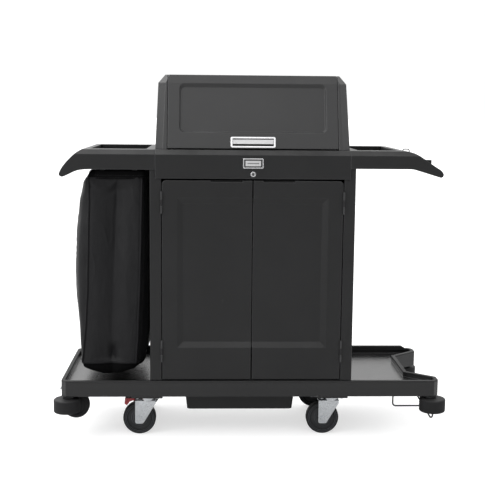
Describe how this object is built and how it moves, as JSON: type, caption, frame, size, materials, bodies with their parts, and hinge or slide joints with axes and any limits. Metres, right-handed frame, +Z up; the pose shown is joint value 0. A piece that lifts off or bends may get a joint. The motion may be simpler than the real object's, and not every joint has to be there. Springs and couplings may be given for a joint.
{
  "type": "housekeeping cart",
  "caption": "Enclosed housekeeping cart: two-door cabinet, hinged hood, hanging linen bag at one end and shallow tray over an open deck at the other, on swivel casters.",
  "frame": {"origin": "on the floor at the middle of the cart's footprint", "axes": "+X along the length towards the tray and notch end, +Y to the back, +Z up; the doors face -Y"},
  "size_m": [1.48, 0.57, 1.3613],
  "materials": {
    "charcoal": "fine moulded texture",
    "charcoal_hood": "fine moulded texture",
    "black_fabric": "coated woven cloth",
    "bumper_rubber": "dull",
    "tyre_rubber": "dull",
    "hub_plastic": "moulded",
    "zinc": "bright zinc plate",
    "chrome": "polished",
    "brake_red": "moulded",
    "black_steel": "satin black",
    "wire": "plated wire",
    "card": "plain grey plate, no printing"
  },
  "bodies": {
    "cart": {"deck": "charcoal", "cabinet_side_left": "charcoal", "cabinet_side_right": "charcoal", "cabinet_back": "charcoal", "cabinet_sill": "charcoal", "shelf_lower": "charcoal", "shelf_upper": "charcoal", "worktop": "charcoal", "hinge_leaves": "black_steel", "hinge_pins": "zinc", "label_frame": "chrome", "label_card": "card", "lock_barrel": "chrome", "hood_end_left": "charcoal_hood", "hood_end_right": "charcoal_hood", "hood_back": "charcoal_hood", "hood_rod": "zinc", "tray_left": "charcoal", "tray_right": "charcoal", "tray_clip": "wire", "bag": "black_fabric", "bag_hoop": "wire", "under_bin": "charcoal", "wire_rack": "wire", "wire_brackets": "black_steel", "end_peg": "zinc", "guard_disc": "bumper_rubber", "bumper_bolts": "zinc", "bumper_front_left": "bumper_rubber", "bumper_front_right": "bumper_rubber", "bumper_back_left": "bumper_rubber", "bumper_back_right": "bumper_rubber", "caster_plate_front_left": "zinc", "caster_plate_front_right": "zinc", "caster_plate_back_left": "zinc", "caster_plate_back_right": "zinc"},
    "door_left": {"door_left": "charcoal"},
    "door_right": {"door_right": "charcoal"},
    "hood_lid": {"hood_lid": "charcoal_hood", "handle_cup": "chrome"},
    "latch_paddle": {"latch_paddle": "chrome"},
    "lock_plug": {"lock_plug": "chrome"},
    "wire_hook": {"wire_hook": "wire"},
    "swivel_front_left": {"caster_fork_front_left": "zinc", "caster_axle_front_left": "zinc"},
    "wheel_front_left": {"wheel_hub_front_left": "hub_plastic", "wheel_tyre_front_left": "tyre_rubber"},
    "swivel_front_right": {"caster_fork_front_right": "zinc", "caster_axle_front_right": "zinc"},
    "wheel_front_right": {"wheel_hub_front_right": "hub_plastic", "wheel_tyre_front_right": "tyre_rubber"},
    "swivel_back_left": {"caster_fork_back_left": "zinc", "caster_axle_back_left": "zinc"},
    "wheel_back_left": {"wheel_hub_back_left": "hub_plastic", "wheel_tyre_back_left": "tyre_rubber"},
    "swivel_back_right": {"caster_fork_back_right": "zinc", "caster_axle_back_right": "zinc"},
    "wheel_back_right": {"wheel_hub_back_right": "hub_plastic", "wheel_tyre_back_right": "tyre_rubber"},
    "brake_lever": {"brake_lever": "brake_red"}
  },
  "joints": [
    {"name": "door_left_hinge", "type": "hinge", "parent": "cart", "child": "door_left", "pos_m": [-0.334, -0.2575, 0.6063], "axis": [0, 0, -1], "range_deg": [0, 105]},
    {"name": "door_right_hinge", "type": "hinge", "parent": "cart", "child": "door_right", "pos_m": [0.334, -0.2575, 0.6063], "axis": [0, 0, 1], "range_deg": [0, 105]},
    {"name": "hood_hinge", "type": "hinge", "parent": "cart", "child": "hood_lid", "pos_m": [0, 0.217, 1.3563], "axis": [-1, 0, 0], "range_deg": [0, 95]},
    {"name": "paddle_pivot", "type": "hinge", "parent": "hood_lid", "child": "latch_paddle", "pos_m": [0, -0.22038, 1.12398], "axis": [-1, 0, 0], "range_deg": [0, 25], "stiffness_Nm_per_rad": 0.05},
    {"name": "key_turn", "type": "hinge", "parent": "cart", "child": "lock_plug", "pos_m": [0, -0.255, 1.0023], "axis": [0, 1, 0], "range_deg": [0, 90]},
    {"name": "wire_hook_pivot", "type": "hinge", "parent": "cart", "child": "wire_hook", "pos_m": [0.64, 0, 0.1583], "axis": [0, 1, 0], "range_deg": [-12, 50]},
    {"name": "swivel_front_left", "type": "hinge", "parent": "cart", "child": "swivel_front_left", "pos_m": [-0.391, -0.17, 0.1493], "axis": [0, 0, 1], "continuous": true},
    {"name": "roll_front_left", "type": "hinge", "parent": "swivel_front_left", "child": "wheel_front_left", "pos_m": [-0.423, -0.17, 0.0625], "axis": [0, 1, 0], "continuous": true},
    {"name": "swivel_front_right", "type": "hinge", "parent": "cart", "child": "swivel_front_right", "pos_m": [0.311, -0.17, 0.1493], "axis": [0, 0, 1], "continuous": true},
    {"name": "roll_front_right", "type": "hinge", "parent": "swivel_front_right", "child": "wheel_front_right", "pos_m": [0.279, -0.17, 0.0625], "axis": [0, 1, 0], "continuous": true},
    {"name": "swivel_back_left", "type": "hinge", "parent": "cart", "child": "swivel_back_left", "pos_m": [-0.391, 0.17, 0.1493], "axis": [0, 0, 1], "continuous": true},
    {"name": "roll_back_left", "type": "hinge", "parent": "swivel_back_left", "child": "wheel_back_left", "pos_m": [-0.423, 0.17, 0.0625], "axis": [0, 1, 0], "continuous": true},
    {"name": "swivel_back_right", "type": "hinge", "parent": "cart", "child": "swivel_back_right", "pos_m": [0.311, 0.17, 0.1493], "axis": [0, 0, 1], "continuous": true},
    {"name": "roll_back_right", "type": "hinge", "parent": "swivel_back_right", "child": "wheel_back_right", "pos_m": [0.279, 0.17, 0.0625], "axis": [0, 1, 0], "continuous": true},
    {"name": "brake_pedal", "type": "hinge", "parent": "swivel_front_left", "child": "brake_lever", "pos_m": [-0.431, -0.17, 0.113], "axis": [0, -1, 0], "range_deg": [0, 7]}
  ]
}
